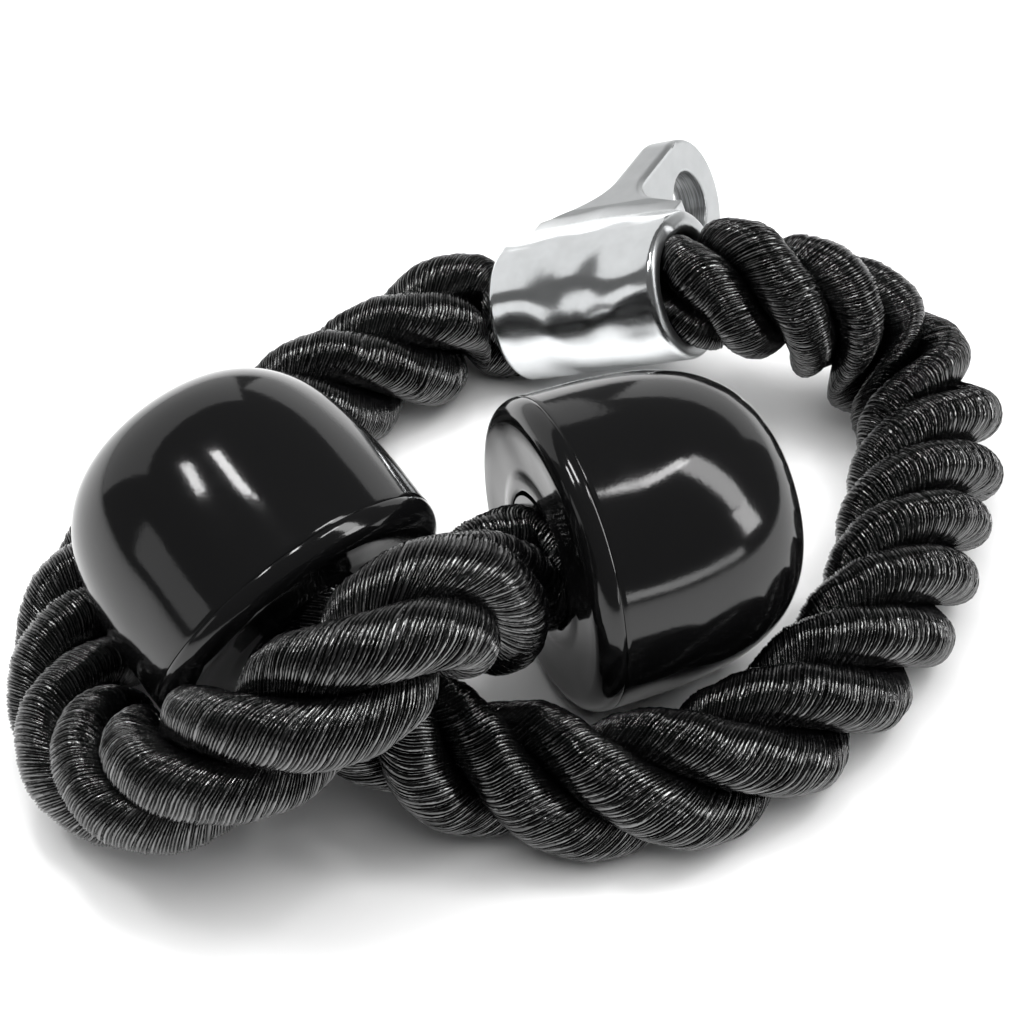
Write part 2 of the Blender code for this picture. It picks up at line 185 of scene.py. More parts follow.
class Nodes:
    """Short calls for building a node material."""

    def __init__(self, name):
        self.material = bpy.data.materials.new(name)
        self.material.use_nodes = True
        self.tree = self.material.node_tree
        self.tree.nodes.clear()

    def node(self, kind, inputs=None, **settings):
        """A new node; an input's value is a number or colour, or a socket to link."""
        made = self.tree.nodes.new(kind)
        for key, value in settings.items():
            setattr(made, key, value)
        for key, value in (inputs or {}).items():
            socket = made.inputs[key]
            if isinstance(value, bpy.types.NodeSocket):
                self.tree.links.new(value, socket)
            else:
                socket.default_value = value
        return made

    def math(self, operation, first, second=0.0, third=0.0):
        return self.node("ShaderNodeMath", {0: first, 1: second, 2: third}, operation=operation).outputs[0]

    def noise(self, vector, scale, detail=2.0, roughness=0.5):
        inputs = {"Vector": vector, "Scale": scale, "Detail": detail, "Roughness": roughness}
        return self.node("ShaderNodeTexNoise", inputs).outputs["Fac"]

    def attribute(self, name, output="Fac"):
        return self.node("ShaderNodeAttribute", attribute_name=name).outputs[output]

    def object_place(self):
        return self.node("ShaderNodeTexCoord").outputs["Object"]

    def mix(self, factor, first, second, **settings):
        """Two colours mixed; 6, 7 and 2 are the node's colour sockets."""
        inputs = {"Factor": factor, 6: first, 7: second}
        return self.node("ShaderNodeMix", inputs, data_type="RGBA", **settings).outputs[2]

    def ramp(self, value, stops):
        """Greys at the given places of a value, with straight lines between them."""
        made = self.node("ShaderNodeValToRGB", {"Fac": value})
        points = made.color_ramp.elements
        while len(points) < len(stops):
            points.new(0.5)
        for point, (place, grey) in zip(points, stops):
            point.position = place
            point.color = (grey, grey, grey, 1.0)
        return made.outputs["Color"]

    def stretched(self, vector, scale):
        return self.node("ShaderNodeMapping", {"Vector": vector, "Scale": scale}).outputs["Vector"]

    def bump(self, height, distance, strength=1.0, normal=None):
        inputs = {"Height": height, "Distance": distance, "Strength": strength}
        if normal is not None:
            inputs["Normal"] = normal
        return self.node("ShaderNodeBump", inputs).outputs["Normal"]

    def finish(self, shader):
        self.node("ShaderNodeOutputMaterial", {"Surface": shader})
        return self.material


# Shapes


def shared(mesh, name, material, body, replaced):
    """Links a finished mesh as a piece that rides on a body and replaces a CAD node."""
    item = bpy.data.objects.new(name, mesh)
    bpy.context.scene.collection.objects.link(item)
    mesh.materials.clear()
    mesh.materials.append(material)
    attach(item, body)
    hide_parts(replaced)
    return item


def point_values(mesh, name, values):
    """Stores one number or one vector for each of the mesh's points."""
    kind, key = ("FLOAT", "value") if values.ndim == 1 else ("FLOAT_VECTOR", "vector")
    mesh.attributes.new(name, kind, "POINT").data.foreach_set(key, values.astype(np.float32).ravel())


def rotation(angle, axis):
    """A 3x3 rotation matrix about one axis."""
    return np.array(Matrix.Rotation(angle, 3, axis))


def stopper_axes(values):
    """(middle of the face, 3x3 matrix whose third column runs from the face to the dome's top)."""
    turn = rotation(values["turn"], "Z") @ rotation(math.radians(90) - values["tilt"], "Y")
    return np.array(values["face"]) + LAYOUT_SHIFT, turn


def collar_axes():
    """(middle of the barrel, 3x3 matrix: columns along the barrel, across the lug, up the lug)."""
    return COLLAR_CENTRE, rotation(-BARREL_TILT, "Y") @ rotation(-LUG_LEAN, "X")


def natural_spline(points, step):
    """Evenly spaced points on the natural cubic spline through the given points."""
    points = np.array(points, float)
    spans = np.linalg.norm(np.diff(points, axis=0), axis=1)
    count = len(points)
    system = np.eye(count)
    target = np.zeros_like(points)
    slopes = np.diff(points, axis=0) / spans[:, None]
    for i in range(1, count - 1):
        system[i, i - 1 : i + 2] = spans[i - 1], 2 * (spans[i - 1] + spans[i]), spans[i]
        target[i] = 6 * (slopes[i] - slopes[i - 1])
    bend = np.linalg.solve(system, target)
    done = np.linspace(0, 1, 40, endpoint=False)[:, None]
    left = 1 - done
    fine = []
    for i in range(count - 1):
        pull = ((left**3 - left) * bend[i] + (done**3 - done) * bend[i + 1]) * spans[i] ** 2 / 6
        fine.append(left * points[i] + done * points[i + 1] + pull)
    fine = np.concatenate([*fine, points[-1:]])
    return resampled(fine, step)


def resampled(line, step):
    """The same polyline with points at even distances."""
    travelled = np.concatenate([[0.0], np.cumsum(np.linalg.norm(np.diff(line, axis=0), axis=1))])
    stations = np.linspace(0.0, travelled[-1], round(travelled[-1] / step) + 1)
    return np.stack([np.interp(stations, travelled, line[:, i]) for i in range(3)], axis=1)


def carried_frames(line):
    """Tangent and two normals at each point, turned as little as possible along the line."""
    tangent = np.gradient(line, axis=0)
    tangent /= np.linalg.norm(tangent, axis=1)[:, None]
    first = np.cross(tangent[0], (0.0, 0.0, 1.0))
    first /= np.linalg.norm(first)
    firsts = [first]
    for i in range(1, len(line)):
        first = firsts[-1] - tangent[i] * (firsts[-1] @ tangent[i])
        firsts.append(first / np.linalg.norm(first))
    firsts = np.array(firsts)
    return tangent, firsts, np.cross(tangent, firsts)


def dome_radius(share):
    """The dome's radius as a share of its widest, at this share of its height."""
    lengthwise, crosswise = DOME_POWERS
    return (1 - np.clip(share, 0, 1) ** lengthwise) ** (1 / crosswise)


# Rope


# How tightly the strands are laid and how full the rope is, by the distance from stopper A's end
LAY_SHARES = [
    (0.000, 1.35), (0.110, 1.40), (0.150, 1.10), (0.185, 0.92), (0.270, 0.90), (0.300, 1.00), (0.360, 1.18),
    (0.430, 1.22), (0.480, 1.00), (0.540, 1.10), (0.590, 1.40), (0.700, 1.40),
]
FULLNESS = [(0.0, 1.0), (0.14, 1.03), (0.19, 1.12), (0.24, 1.10), (0.275, 1.0), (0.7, 1.0)]


class RopeLine:
    """The centreline of the whole rope, from inside stopper A through the collar to inside stopper B."""

    STEP = 0.001
    INTO_STOPPER = 0.005
    STRAIGHT_AT_STOPPERS = (0.013, 0.0045)
    STRAIGHT_AT_COLLAR = (0.0040, 0.0044)
    SHARE_IN_BARREL = 0.865
    SQUEEZE_REACH = 0.0055
    OVERLAP = 0.006

    def __init__(self):
        face_a, axes_a = stopper_axes(STOPPERS["stopper_a"])
        face_b, axes_b = stopper_axes(STOPPERS["stopper_b"])
        inward_a, inward_b = axes_a[:, 2], axes_b[:, 2]
        centre, axes = collar_axes()
        barrel = axes[:, 0]
        half = BARREL_LENGTH / 2
        stopper_lead_a, stopper_lead_b = self.STRAIGHT_AT_STOPPERS
        collar_lead_a, collar_lead_b = self.STRAIGHT_AT_COLLAR
        points = [
            face_a + inward_a * self.INTO_STOPPER, face_a, face_a - inward_a * stopper_lead_a,
            *(np.array(ROUTE_A[::-1]) + LAYOUT_SHIFT),
            centre + barrel * (half + collar_lead_a), centre + barrel * half,
            centre,
            centre - barrel * half, centre - barrel * (half + collar_lead_b),
            *(np.array(ROUTE_B) + LAYOUT_SHIFT),
            face_b - inward_b * stopper_lead_b, face_b, face_b + inward_b * self.INTO_STOPPER,
        ]
        self.points = natural_spline(points, self.STEP)
        _, self.first, self.second = carried_frames(self.points)
        along = (self.points - centre) @ barrel
        near = np.linalg.norm(self.points - centre, axis=1) < half + 0.02
        inside = np.where(near & (np.abs(along) < half))[0]
        self.barrel_start, self.barrel_end = inside[0], inside[-1]
        index = np.arange(len(self.points))
        outside = np.maximum(self.barrel_start - index, index - self.barrel_end) * self.STEP
        free = np.clip((outside + 0.001) / self.SQUEEZE_REACH, 0, 1)
        self.share = self.SHARE_IN_BARREL + (1 - self.SHARE_IN_BARREL) * (free * free * (3 - 2 * free))
        travelled = index * self.STEP
        self.share *= np.interp(travelled, *np.transpose(FULLNESS))
        lay = np.interp(travelled, *np.transpose(LAY_SHARES))
        self.twist = np.cumsum(self.STEP / lay)

    def ranges(self):
        """Index ranges of leg A, the middle and leg B, which overlap a little inside the barrel."""
        reach = round(self.OVERLAP / self.STEP)
        return {
            "rope_leg_a": (0, self.barrel_start + reach),
            "rope_in_collar": (self.barrel_start + reach, self.barrel_end - reach + 1),
            "rope_leg_b": (self.barrel_end - reach, len(self.points)),
        }


# A strand's section, as shares of the rope's diameter
STRAND_OFFSET = 0.264
STRAND_RADIAL = 0.236
STRAND_ACROSS = 0.274
STRAND_FLATNESS = 0.96
# Uneven thickness along a strand: (share, waves per metre in radians, shift from strand to strand)
STRAND_WOBBLES = ((0.012, 260, 2.1), (0.010, 617, 4.0))
# The threads wound round a strand
THREADS = 56
THREAD_SLANT = 1.58
THREAD_HEIGHTS = np.array([0.0, -0.00013, -0.00042, -0.00013])
THREAD_UNEVEN = 0.00020
THREAD_UNEVEN_WAVES = (0.017, 0.041)
THREAD_WANDER = 0.045
THREAD_WANDER_WAVES = (0.023, 0.057)
# How far the rope gives way to what it lies on
FLOOR_CLEARANCE = 0.0004
FLOOR_GIVE = 0.001
STOPPER_CLEARANCE = 0.0006
STOPPER_SIDE_START = 0.0005
STOPPER_SIDE_SHARE = 0.7
# A cord's path takes every fifth point of the centreline
PATH_STRIDE = 5


def strand_section(around):
    """(outward, sideways) of the strand's outline, as shares of the rope's diameter."""
    outward = STRAND_OFFSET + STRAND_RADIAL * np.cos(around)
    sideways = STRAND_ACROSS * np.sign(np.sin(around)) * np.abs(np.sin(around)) ** STRAND_FLATNESS
    return outward, sideways


def slow_waves(chance, travelled, lengths):
    """One slowly varying row of numbers for each thread, from -1 to 1."""
    total = 0
    for length in lengths:
        start = chance.uniform(0, math.tau, THREADS)
        total = total + np.sin(travelled[:, None] * math.tau / length + start[None, :])
    return total / len(lengths)


def rope_mesh(line, start, end, settings):
    """The strands' threads as one set of grids: points, quads, end faces, yarn places, valleys."""
    chance = np.random.default_rng(seed=7)
    per_thread = len(THREAD_HEIGHTS)
    sides = THREADS * per_thread
    rows = np.arange(start, end)
    count = len(rows)
    travelled = rows * line.STEP
    thread_turn = math.tau / settings.lay_length * (STRAND_OFFSET + STRAND_RADIAL) / STRAND_ACROSS
    thread_turn *= THREAD_SLANT
    thread_angle = np.linspace(0, math.tau, sides, endpoint=False)
    points, quads, ends, places = [], [], [], []
    for strand in range(settings.strands):
        lift = THREAD_UNEVEN * slow_waves(chance, travelled, THREAD_UNEVEN_WAVES)
        wander = THREAD_WANDER * slow_waves(chance, travelled, THREAD_WANDER_WAVES)
        lift = np.repeat(lift, per_thread, axis=1) + np.tile(THREAD_HEIGHTS, THREADS)
        around = thread_angle + np.repeat(wander, per_thread, axis=1) - thread_turn * line.twist[rows][:, None]
        outward, sideways = strand_section(around)
        turn = math.tau * (line.twist[rows] / settings.lay_length + strand / settings.strands) + settings.phase
        wobble = 1
        for share, rate, shift in STRAND_WOBBLES:
            wobble = wobble + share * np.sin(travelled * rate + strand * shift)
        cosine, sine = np.cos(turn)[:, None], np.sin(turn)[:, None]
        radial = (cosine * line.first[rows] + sine * line.second[rows])[:, None, :]
        across = (-sine * line.first[rows] + cosine * line.second[rows])[:, None, :]
        size = (settings.diameter * line.share[rows] * wobble)[:, None]
        out = size * outward + lift * np.cos(around)
        side = size * sideways + lift * np.sin(around)
        grid = line.points[rows][:, None, :] + out[..., None] * radial + side[..., None] * across
        index = np.arange(count * sides).reshape(count, sides) + strand * count * sides
        following = np.roll(index, -1, axis=1)
        quads.append(np.stack([index[:-1], following[:-1], following[1:], index[1:]], axis=-1).reshape(-1, 4))
        ends += [index[0][::-1], index[-1]]
        points.append(grid.reshape(-1, 3))
        ring = np.broadcast_to(thread_angle, (count, sides)).ravel()
        along = np.repeat(travelled, sides) * 100 + strand * 9.0
        places.append(np.stack([np.cos(ring), np.sin(ring), along], axis=1))
    valleys = np.tile(THREAD_HEIGHTS / THREAD_HEIGHTS.min(), THREADS * count * settings.strands)
    return np.concatenate(points), np.concatenate(quads), ends, np.concatenate(places), valleys


def grid_mesh(name, points, quads, ends):
    """A mesh from many quads and a few many-sided end faces."""
    data = bpy.data.meshes.new(name)
    corners = np.concatenate([quads.ravel(), *ends]).astype(np.int32)
    sizes = np.concatenate([np.full(len(quads), 4), [len(face) for face in ends]])
    starts = np.concatenate([[0], np.cumsum(sizes)[:-1]]).astype(np.int32)
    data.vertices.add(len(points))
    data.vertices.foreach_set("co", points.ravel())
    data.loops.add(len(corners))
    data.loops.foreach_set("vertex_index", corners)
    data.polygons.add(len(sizes))
    data.polygons.foreach_set("loop_start", starts)
    data.update(calc_edges=True)
    data.validate()
    return data


def pressed(points):
    """Moves rope points out of the floor and out of the stoppers, as the soft rope gives way."""
    points = points.copy()
    low = FLOOR_CLEARANCE
    near = points[:, 2] < low + FLOOR_GIVE
    points[near, 2] = low + np.maximum(points[near, 2] - low, 0) * 0.5
    for values in STOPPERS.values():
        face, axes = stopper_axes(values)
        local = (points - face) @ axes
        radius = np.linalg.norm(local[:, :2], axis=1)
        height = local[:, 2]
        dome = STOPPER_RADIUS * dome_radius((height - CAP_THICKNESS) / (STOPPER_LENGTH - CAP_THICKNESS))
        edge = CAP_EDGE_RADIUS
        rim = STOPPER_RADIUS - edge + np.sqrt(np.clip(edge**2 - np.clip(edge - height, 0, edge) ** 2, 0, None))
        limit = np.minimum(dome, rim) + STOPPER_CLEARANCE
        beside = (height > STOPPER_SIDE_START) & (height < STOPPER_LENGTH)
        inside = beside & (radius < limit) & (radius > STOPPER_RADIUS * STOPPER_SIDE_SHARE)
        scale = np.where(inside, limit / np.maximum(radius, 1e-6), 1.0)
        local[:, :2] *= scale[:, None]
        points = local @ axes.T + face
    return points


def rope_material(settings):
    """Black multifilament yarn: fine glossy filaments along each thread, and painted shade that makes colour
    and specular dark between threads.
    """
    n = Nodes("black nylon rope")
    place = n.attribute("yarn", "Vector")
    valley = n.attribute("valley")
    filaments = n.noise(n.stretched(place, (26.0, 26.0, 6.0)), 1.0, 2.0, 0.6)
    bundles = n.noise(n.stretched(place, (9.0, 9.0, 3.0)), 1.0, 1.0, 0.5)
    normal = n.bump(filaments, 0.00022, 1.0)
    # Painted shade: the thread valleys' base colour and specular tint are darkened towards black, and the
    # bundles vary the tone at random
    painted_valley_shade = n.ramp(valley, [(0.03, 1.0), (0.33, 0.26), (0.6, 0.0)])
    valley_shade_and_bundle_tone = n.math("MULTIPLY", painted_valley_shade, n.ramp(bundles, [(0.35, 0.45), (0.65, 1.0)]))
    base = n.mix(valley_shade_and_bundle_tone, (0.0003, 0.0003, 0.0003, 1.0), (*settings.colour, 1.0))
    valley_shaded_specular_tint = n.mix(valley_shade_and_bundle_tone, (0.03, 0.03, 0.03, 1.0), (1.0, 1.0, 1.0, 1.0))
    shader = n.node(
        "ShaderNodeBsdfPrincipled",
        {
            "Base Color": base, "Specular Tint": valley_shaded_specular_tint,
            "Roughness": n.math("MULTIPLY_ADD", filaments, 0.14, settings.roughness),
            "Normal": normal, "Specular IOR Level": 1.0, "IOR": 1.95,
        },
    )
    return n.finish(shader.outputs[0])


class TRR_OT_rope(bpy.types.Operator):
    """Lay the rope: two free legs and the middle in the collar"""

    bl_idname = "triceps_rope.rope"
    bl_label = "Rope"

    def execute(self, context):
        settings = context.scene.triceps_rope.rope
        line = RopeLine()
        material = rope_material(settings)
        for name, (start, end) in line.ranges().items():
            points, quads, ends, places, valleys = rope_mesh(line, start, end, settings)
            data = grid_mesh(f"laid_{name}", pressed(points), quads, ends)
            point_values(data, "yarn", places)
            point_values(data, "valley", valleys)
            data.shade_smooth()
            piece = shared(data, f"laid_{name}", material, ROOT_BODY, name)
            if name != "rope_in_collar":
                path = line.points[start:end:PATH_STRIDE]
                if name == "rope_leg_a":
                    path = path[::-1]
        for name in ("rope_end_a", "rope_end_b"):
            paint(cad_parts[name], material)
        return {"FINISHED"}


def paint(node, material):
    """Gives a CAD node a better material."""
    for place in node.material_slots:
        place.material = material
    if not node.material_slots:
        node.data.materials.append(material)


# Stoppers


def revolved(name, outline, closed, sides=160):
    """A mesh turned about Z from (radius, height) points; points on the axis become one vertex."""
    radii, heights = np.transpose(outline)
    clockwise = (radii * np.roll(heights, -1) - np.roll(radii, -1) * heights).sum() < 0
    points, rings = [], []
    for radius, height in outline:
        start = len(points)
        if radius == 0:
            points.append((0.0, 0.0, height))
            rings.append([start] * sides)
            continue
        for turn in np.linspace(0, math.tau, sides, endpoint=False):
            points.append((radius * math.cos(turn), radius * math.sin(turn), height))
        rings.append(list(range(start, len(points))))
    faces = []
    for ring, following in zip(rings, rings[1:] + rings[:1] if closed else rings[1:]):
        for i in range(sides):
            corners = ring[i - 1], ring[i], following[i], following[i - 1]
            corners = corners[::-1] if clockwise else corners
            faces.append(list(dict.fromkeys(corners)))
    mesh = bpy.data.meshes.new(name)
    mesh.from_pydata(points, [], faces)
    mesh.shade_smooth()
    mesh.set_sharp_from_angle(angle=math.radians(50))
    return mesh


def arc(centre, radius, start, end, steps):
    """Points on a circle between two angles in degrees."""
    angles = np.radians(np.linspace(start, end, steps + 1))
    return [(centre[0] + radius * math.cos(a), centre[1] + radius * math.sin(a)) for a in angles]


def shell_outline():
    """Outside of the dome from its top to the parting line, and back up inside."""
    base = CAP_THICKNESS + PARTING_CREASE
    share = np.sin(np.linspace(math.pi / 2, 0, 72))
    outer = [(STOPPER_RADIUS * dome_radius(s), base + (STOPPER_LENGTH - base) * s) for s in share]
    outer[0] = (0.0, STOPPER_LENGTH)
    outer[-1] = (STOPPER_RADIUS, base + 0.00008)
    lip = [(STOPPER_RADIUS - 0.00003, base + 0.00002), (STOPPER_RADIUS - 0.00008, base)]
    top = STOPPER_LENGTH - SHELL_WALL
    inner = [
        ((STOPPER_RADIUS - SHELL_WALL) * dome_radius(s), base + (top - base) * s)
        for s in np.sin(np.linspace(0, math.pi / 2, 20))
    ]
    inner[-1] = (0.0, top)
    return [*outer, *lip, *inner]


def cap_outline():
    """The back cap: slightly crowned face, rounded rim and the lip round the rope."""
    edge = CAP_EDGE_RADIUS
    radius = STOPPER_RADIUS
    lip = 0.0012
    spigot = 0.008
    spigot_wall = 0.003
    hole = ROPE_HOLE_RADIUS + 0.0002
    mouth = arc((hole + lip, lip), lip, 180, 270, 6)
    collar = [(hole + 0.0030, 0.00002), (hole + 0.0042, 0.0004), (hole + 0.0056, 0.0005)]
    rim = arc((radius - edge, edge), edge, 272, 356, 16)
    inside = radius - SHELL_WALL - 2 * PARTING_GAP
    return [
        *mouth, *collar, (radius - edge - 0.003, 0.0002), *rim, (radius - 0.00002, CAP_THICKNESS - 0.00008),
        (radius - 0.00008, CAP_THICKNESS), (inside, CAP_THICKNESS), (inside, CAP_THICKNESS + spigot),
        (inside - spigot_wall, CAP_THICKNESS + spigot), (inside - spigot_wall, CAP_THICKNESS),
        (hole, CAP_THICKNESS),
    ]


def plastic_material(name, settings):
    """Glossy black plastic with the faint unevenness and dust of a moulded surface."""
    n = Nodes(name)
    place = n.object_place()
    waves = n.noise(place, 42.0, 1.0)
    grain = n.noise(place, 900.0, 2.0)
    handled = n.noise(place, 60.0, 4.0, 0.65)
    normal = n.bump(waves, 0.0016, 0.35)
    normal = n.bump(grain, 0.00002, 0.5, normal)
    rough = n.math("MULTIPLY_ADD", n.ramp(handled, [(0.45, 0.0), (0.75, 1.0)]), 0.05, settings.roughness)
    shader = n.node(
        "ShaderNodeBsdfPrincipled",
        {"Base Color": (*settings.colour, 1.0), "Roughness": rough, "Normal": normal, "IOR": 1.5},
    )
    return n.finish(shader.outputs[0])


class TRR_OT_stoppers(bpy.types.Operator):
    """Mould the two stoppers: dome shells and back caps"""

    bl_idname = "triceps_rope.stoppers"
    bl_label = "Stoppers"

    def execute(self, context):
        settings = context.scene.triceps_rope.stopper
        material = plastic_material("gloss black plastic", settings)
        for name, values in STOPPERS.items():
            face, axes = stopper_axes(values)
            matrix = Matrix.Translation(face) @ Matrix(axes.tolist()).to_4x4()
            for part, outline, closed in (("shell", shell_outline(), False), ("back_cap", cap_outline(), True)):
                mesh = revolved(f"moulded_{name}_{part}", outline, closed)
                mesh.transform(matrix)
                shared(mesh, f"moulded_{name}_{part}", material, name, f"{name}_{part}")
        return {"FINISHED"}


# Collar


def rounded_union(first, second, radius):
    """Signed distance to two shapes joined with a fillet."""
    meet = np.sqrt(np.maximum(radius - first, 0) ** 2 + np.maximum(radius - second, 0) ** 2)
    return np.maximum(radius, np.minimum(first, second)) - meet


def rounded_cut(first, second, radius):
    """Signed distance to what two shapes share, with a rounded edge."""
    meet = np.sqrt(np.maximum(radius + first, 0) ** 2 + np.maximum(radius + second, 0) ** 2)
    return np.minimum(-radius, np.maximum(first, second)) + meet


# Roundings of the casting's edges and inner corners
BARREL_ROUNDING = 0.0016
LUG_ROUNDING = 0.0018
LUG_FOOT_ROUNDING = 0.001
SADDLE_BLEND = 0.0022
MILLED_ROUNDING = 0.00025
EYE_ROUNDING = 0.0005
BORE_ROUNDING = 0.0011
# The milled face on each side of the lug: height above the barrel, corner radius, rim left round it
MILLED_START = 0.0035
MILLED_CORNER = 0.005
MILLED_RIM = 0.0009
# Where the barrel's polish fades into the lug's satin, and how sharp the other finishes' edges are
SATIN_START = 0.0045
SATIN_FADE = 0.0115
FINISH_EDGE = 0.0005
TURNED_EDGE = 0.0002


def casting_distance(points):
    """Signed distance to the casting's surface, in the collar's own axes."""
    x, y, z = points.T
    radial = np.hypot(y, z)
    barrel = rounded_cut(radial - BARREL_RADIUS, np.abs(x) - BARREL_LENGTH / 2, BARREL_ROUNDING)
    flare_height = np.clip((z - BARREL_RADIUS + 0.0003), 0, SADDLE_RADIUS)
    below = SADDLE_RADIUS - flare_height
    flare = SADDLE_RADIUS - np.sqrt(SADDLE_RADIUS**2 - below**2)
    half = LUG_HALF_THICKNESS + LUG_CAST_ALLOWANCE
    slope = np.where(below > 0, below / np.sqrt(SADDLE_RADIUS**2 - below**2 + 1e-9), 0)
    sides = (np.abs(x) - half - flare) / np.sqrt(1 + np.minimum(slope, 20) ** 2)
    outline = np.hypot(y, z - np.clip(z, 0, EYE_HEIGHT)) - LUG_HALF_WIDTH
    lug = rounded_cut(outline, sides, LUG_ROUNDING)
    lug = rounded_cut(lug, -z, LUG_FOOT_ROUNDING)
    body = rounded_union(barrel, lug, SADDLE_BLEND)
    inside_y = np.abs(y) - (LUG_HALF_WIDTH - MILLED_RIM - MILLED_CORNER)
    inside_z = BARREL_RADIUS + MILLED_START + MILLED_CORNER - z
    facing = np.hypot(np.maximum(inside_y, 0), np.maximum(inside_z, 0))
    facing = facing + np.minimum(np.maximum(inside_y, inside_z), 0) - MILLED_CORNER
    milled = np.maximum(facing, LUG_HALF_THICKNESS - np.abs(x))
    body = rounded_cut(body, -milled, MILLED_ROUNDING)
    body = rounded_cut(body, EYE_RADIUS - np.hypot(y, z - EYE_HEIGHT), EYE_ROUNDING)
    return rounded_cut(body, BORE_RADIUS - radial, BORE_ROUNDING)


def settled(points):
    """Moves points onto the casting's surface."""
    small = 0.00002
    furthest = 0.0008
    for _ in range(8):
        here = casting_distance(points)
        moved = [casting_distance(points + small * axis) for axis in np.eye(3)]
        slope = (np.stack(moved, axis=1) - here[:, None]) / small
        size = np.maximum((slope**2).sum(axis=1), 0.25)
        points = points - np.clip(here, -furthest, furthest)[:, None] * slope / size[:, None]
    return points


def finishes(points):
    """How satin each point is, and how far it is on the eye's turned wall; both from 0 to 1."""
    x, y, z = points.T
    above = np.clip((z - SATIN_START) / SATIN_FADE, 0, 1)
    in_bore = np.clip((BORE_RADIUS + 0.001 - np.hypot(y, z)) / FINISH_EDGE, 0, 1)
    at_end = np.clip((np.abs(x) - BARREL_LENGTH / 2 + 0.0008) / FINISH_EDGE, 0, 1)
    turned = np.clip((EYE_RADIUS + 0.0003 - np.hypot(y, z - EYE_HEIGHT)) / TURNED_EDGE, 0, 1)
    return np.maximum(np.maximum(above, in_bore), at_end), turned


def cast_material(settings):
    """Aluminium: hand-polished barrel, satin lug, turned eye."""
    n = Nodes("polished cast aluminium")
    place = n.attribute("casting", "Vector")
    satin = n.attribute("satin")
    waves = n.noise(place, 70.0, 0.0, 0.4)
    ripples = n.noise(place, 320.0, 2.0, 0.5)
    scratches = n.noise(n.stretched(place, (2600.0, 260.0, 260.0)), 1.0, 2.0)
    pits = n.noise(place, 1500.0, 3.0, 0.6)
    normal = n.bump(waves, 0.0032, n.math("MULTIPLY_ADD", satin, -0.66, 0.75))
    normal = n.bump(ripples, 0.00005, 0.5, normal)
    normal = n.bump(scratches, 0.00002, n.math("MULTIPLY_ADD", satin, 0.6, 0.1), normal)
    rough = n.math("MULTIPLY_ADD", satin, 0.24, 0.13)
    rough = n.math("ADD", rough, n.math("MULTIPLY", pits, 0.05))
    shade = n.ramp(n.noise(place, 140.0, 3.0, 0.6), [(0.3, 0.90), (0.7, 1.0)])
    shade = n.math("MULTIPLY", shade, n.math("MULTIPLY_ADD", satin, -0.44, 1.0))
    grooves = n.noise(n.stretched(place, (4200.0, 160.0, 160.0)), 1.0, 1.0)
    marks = n.math("MULTIPLY", n.attribute("turned"), n.ramp(grooves, [(0.35, 0.55), (0.62, 0.10)]))
    shade = n.math("MULTIPLY", shade, n.math("MULTIPLY_ADD", marks, -1.0, 1.0))
    base = n.mix(1.0, (*settings.colour, 1.0), shade, blend_type="MULTIPLY")
    shader = n.node(
        "ShaderNodeBsdfPrincipled",
        {"Base Color": base, "Metallic": 1.0, "Roughness": rough, "Normal": normal},
    )
    return n.finish(shader.outputs[0])


class TRR_OT_collar(bpy.types.Operator):
    """Cast the collar: barrel, saddle, lug and eye in one"""

    bl_idname = "triceps_rope.collar"
    bl_label = "Collar"

    def execute(self, context):
        settings = context.scene.triceps_rope.collar
        centre, axes = collar_axes()
        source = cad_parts["collar_casting"]
        to_world = Matrix.Translation(centre) @ Matrix(axes.tolist()).to_4x4()
        data = source.data.copy()
        data.transform(to_world.inverted() @ source.matrix_world)
        rough = bpy.data.objects.new("casting_rough", data)
        context.scene.collection.objects.link(rough)
        remesh = rough.modifiers.new("even mesh", "REMESH")
        remesh.mode = "VOXEL"
        remesh.voxel_size = settings.voxel
        context.view_layer.update()
        mesh = bpy.data.meshes.new_from_object(rough.evaluated_get(context.evaluated_depsgraph_get()))
        bpy.data.objects.remove(rough, do_unlink=True)
        points = np.empty(len(mesh.vertices) * 3)
        mesh.vertices.foreach_get("co", points)
        points = settled(points.reshape(-1, 3))
        satin, turned = finishes(points)
        placed = points @ axes.T + centre
        mesh.vertices.foreach_set("co", placed.ravel())
        point_values(mesh, "satin", satin)
        point_values(mesh, "turned", turned)
        point_values(mesh, "casting", points)
        mesh.update()
        mesh.shade_smooth()
        shared(mesh, "cast_collar", cast_material(settings), ROOT_BODY, "collar_casting")
        return {"FINISHED"}


# Hidden fittings


def plated_material(name, colour, rough):
    """Dull metal for the hidden fittings."""
    n = Nodes(name)
    place = n.object_place()
    grain = n.noise(place, 700.0, 3.0)
    shader = n.node(
        "ShaderNodeBsdfPrincipled",
        {
            "Base Color": (*colour, 1.0), "Metallic": 1.0, "Normal": n.bump(grain, 0.00005, 0.5),
            "Roughness": n.math("MULTIPLY_ADD", grain, 0.2, rough),
        },
    )
    return n.finish(shader.outputs[0])


class TRR_OT_fittings(bpy.types.Operator):
    """Finish the washers and ferrules inside the stoppers"""

    bl_idname = "triceps_rope.fittings"
    bl_label = "Washers and ferrules"

    def execute(self, context):
        steel = plated_material("zinc plated steel", (0.62, 0.63, 0.64), 0.25)
        alloy = plated_material("crimped aluminium", (0.74, 0.75, 0.76), 0.30)
        for side in "ab":
            paint(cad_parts[f"washer_{side}"], steel)
            paint(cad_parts[f"ferrule_{side}"], alloy)
        return {"FINISHED"}


# Stage


